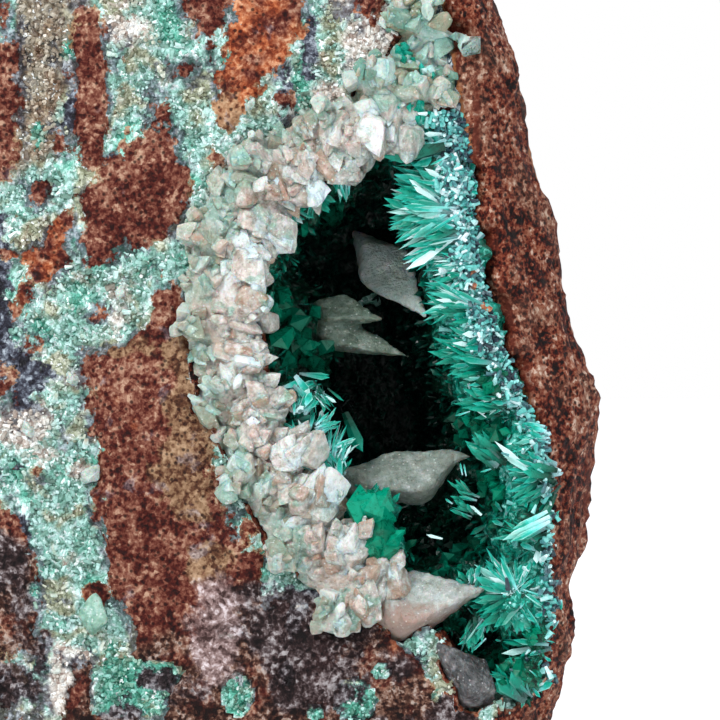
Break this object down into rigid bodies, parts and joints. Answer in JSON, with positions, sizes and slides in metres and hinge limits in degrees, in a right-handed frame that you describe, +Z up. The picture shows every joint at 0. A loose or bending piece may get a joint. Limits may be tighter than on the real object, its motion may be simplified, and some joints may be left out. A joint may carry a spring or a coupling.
{
  "type": "annabergite mineral specimen",
  "caption": "Broken block of brown ironstone with pale green veins and an open vug, lined with green bladed crystals, rimmed with pinkish white calcite and crossed by pointed calcite crystals.",
  "frame": {"origin": "on the flat base under the middle of the stone", "axes": "+Z up, from the flat base; the vug opens towards -Y; +X is to the right as seen from the front"},
  "size_m": [0.0685, 0.0531, 0.0867],
  "materials": {
    "ironstone": "rough, broken stone, red-brown with pale green and tan veins",
    "annabergite": "translucent emerald to pale turquoise blades with a glassy lustre",
    "calcite_band": "translucent pinkish white crystals with a pearly lustre",
    "calcite": "frosted grey, pitted crystal faces",
    "smoky_calcite": "frosted dark grey crystal faces"
  },
  "bodies": {
    "root": {"matrix": "ironstone", "annabergite_crust": "annabergite", "calcite_crust": "calcite_band", "calcite_crystal_upper": "calcite", "calcite_crystals_middle": "calcite", "calcite_crystal_large": "calcite", "calcite_crystal_front": "calcite", "calcite_crystal_smoky": "smoky_calcite"}
  },
  "joints": []
}
